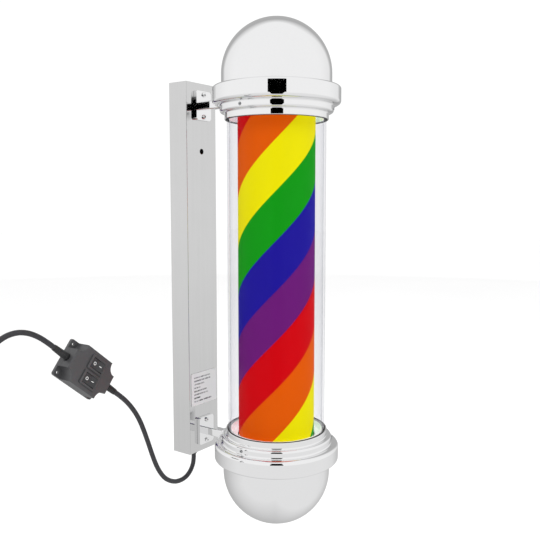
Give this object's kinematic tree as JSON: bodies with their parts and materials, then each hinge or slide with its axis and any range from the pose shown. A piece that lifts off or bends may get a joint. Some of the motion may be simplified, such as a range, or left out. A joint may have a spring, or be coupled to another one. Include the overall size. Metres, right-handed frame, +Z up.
{
  "type": "barber pole light",
  "caption": "Wall-mounted rotating barber pole light: rainbow striped drum in a clear tube between chrome domes, with an inline rocker switch box on its cord.",
  "frame": {"origin": "on the wall face of the bracket's back plate, at the middle of its height and width", "axes": "+Z up along the pole, +Y into the wall, +X to the right seen from the room"},
  "size_m": [0.5435, 0.2565, 0.7],
  "materials": {
    "bracket_steel": "polished folded sheet",
    "zinc_steel": "zinc plated",
    "chrome": "mirror chrome",
    "shaft_steel": "ground",
    "clear_tube": "clear",
    "rainbow_film": "printed film, six colours",
    "white_plastic": "moulded",
    "label_film": "printed, plain bars",
    "aluminium": "extruded",
    "light_strip": "light strip",
    "seal_rubber": "moulded",
    "lead_sheath": "smooth sheath",
    "gland_plastic": "moulded",
    "switch_plastic": "fine texture",
    "rocker_plastic": "semi gloss",
    "cord_sheath": "smooth sheath"
  },
  "bodies": {
    "frame": {"bracket_cover": "bracket_steel", "bracket_back_plate": "zinc_steel", "cover_screw_top": "zinc_steel", "cover_screw_bottom": "zinc_steel", "upper_arm_nut": "zinc_steel", "lower_arm_nut": "zinc_steel", "motor_plate": "zinc_steel", "driver_plate": "zinc_steel", "motor": "zinc_steel", "upper_plate_screw_1": "zinc_steel", "upper_plate_screw_2": "zinc_steel", "lower_plate_screw_1": "zinc_steel", "lower_plate_screw_2": "zinc_steel", "upper_grub_screw_1": "zinc_steel", "upper_grub_screw_2": "zinc_steel", "upper_grub_screw_3": "zinc_steel", "lower_grub_screw_1": "zinc_steel", "lower_grub_screw_2": "zinc_steel", "lower_grub_screw_3": "zinc_steel", "upper_arm": "chrome", "lower_arm": "chrome", "upper_dome": "chrome", "lower_dome": "chrome", "upper_collar": "chrome", "lower_collar": "chrome", "upper_arm_screw_high": "chrome", "upper_arm_screw_low": "chrome", "lower_arm_screw_high": "chrome", "lower_arm_screw_low": "chrome", "outer_tube": "clear_tube", "guide_bush": "white_plastic", "light_driver": "white_plastic", "terminal_block": "white_plastic", "rating_label": "label_film", "light_post": "aluminium", "light_strip_front": "light_strip", "light_strip_back": "light_strip", "upper_tube_seal": "seal_rubber", "lower_tube_seal": "seal_rubber", "motor_lead": "lead_sheath", "light_lead": "lead_sheath", "supply_lead": "lead_sheath", "cord_gland": "gland_plastic", "switch_box_base": "switch_plastic", "switch_box_cover": "switch_plastic", "left_switch_body": "switch_plastic", "right_switch_body": "switch_plastic", "cord_tie": "switch_plastic", "cord_to_switch": "cord_sheath", "cord_to_coil": "cord_sheath", "cord_coil": "cord_sheath", "upper_grommet": "cord_sheath", "lower_grommet": "cord_sheath", "plug": "cord_sheath"},
    "drum": {"striped_drum": "rainbow_film", "drive_disc": "white_plastic", "guide_ring": "white_plastic", "drive_shaft": "shaft_steel"},
    "left_rocker_body": {"left_rocker": "rocker_plastic"},
    "right_rocker_body": {"right_rocker": "rocker_plastic"}
  },
  "joints": [
    {"name": "drum_spin", "type": "hinge", "parent": "frame", "child": "drum", "pos_m": [0, -0.169, 0], "axis": [0, 0, 1], "continuous": true},
    {"name": "left_rocker_press", "type": "hinge", "parent": "frame", "child": "left_rocker_body", "pos_m": [-0.2126, -0.0233, -0.1243], "axis": [0.6293, 0, 0.7771], "range_deg": [0, 18]},
    {"name": "right_rocker_press", "type": "hinge", "parent": "frame", "child": "right_rocker_body", "pos_m": [-0.19907, -0.0233, -0.10759], "axis": [0.6293, 0, 0.7771], "range_deg": [0, 18]}
  ]
}
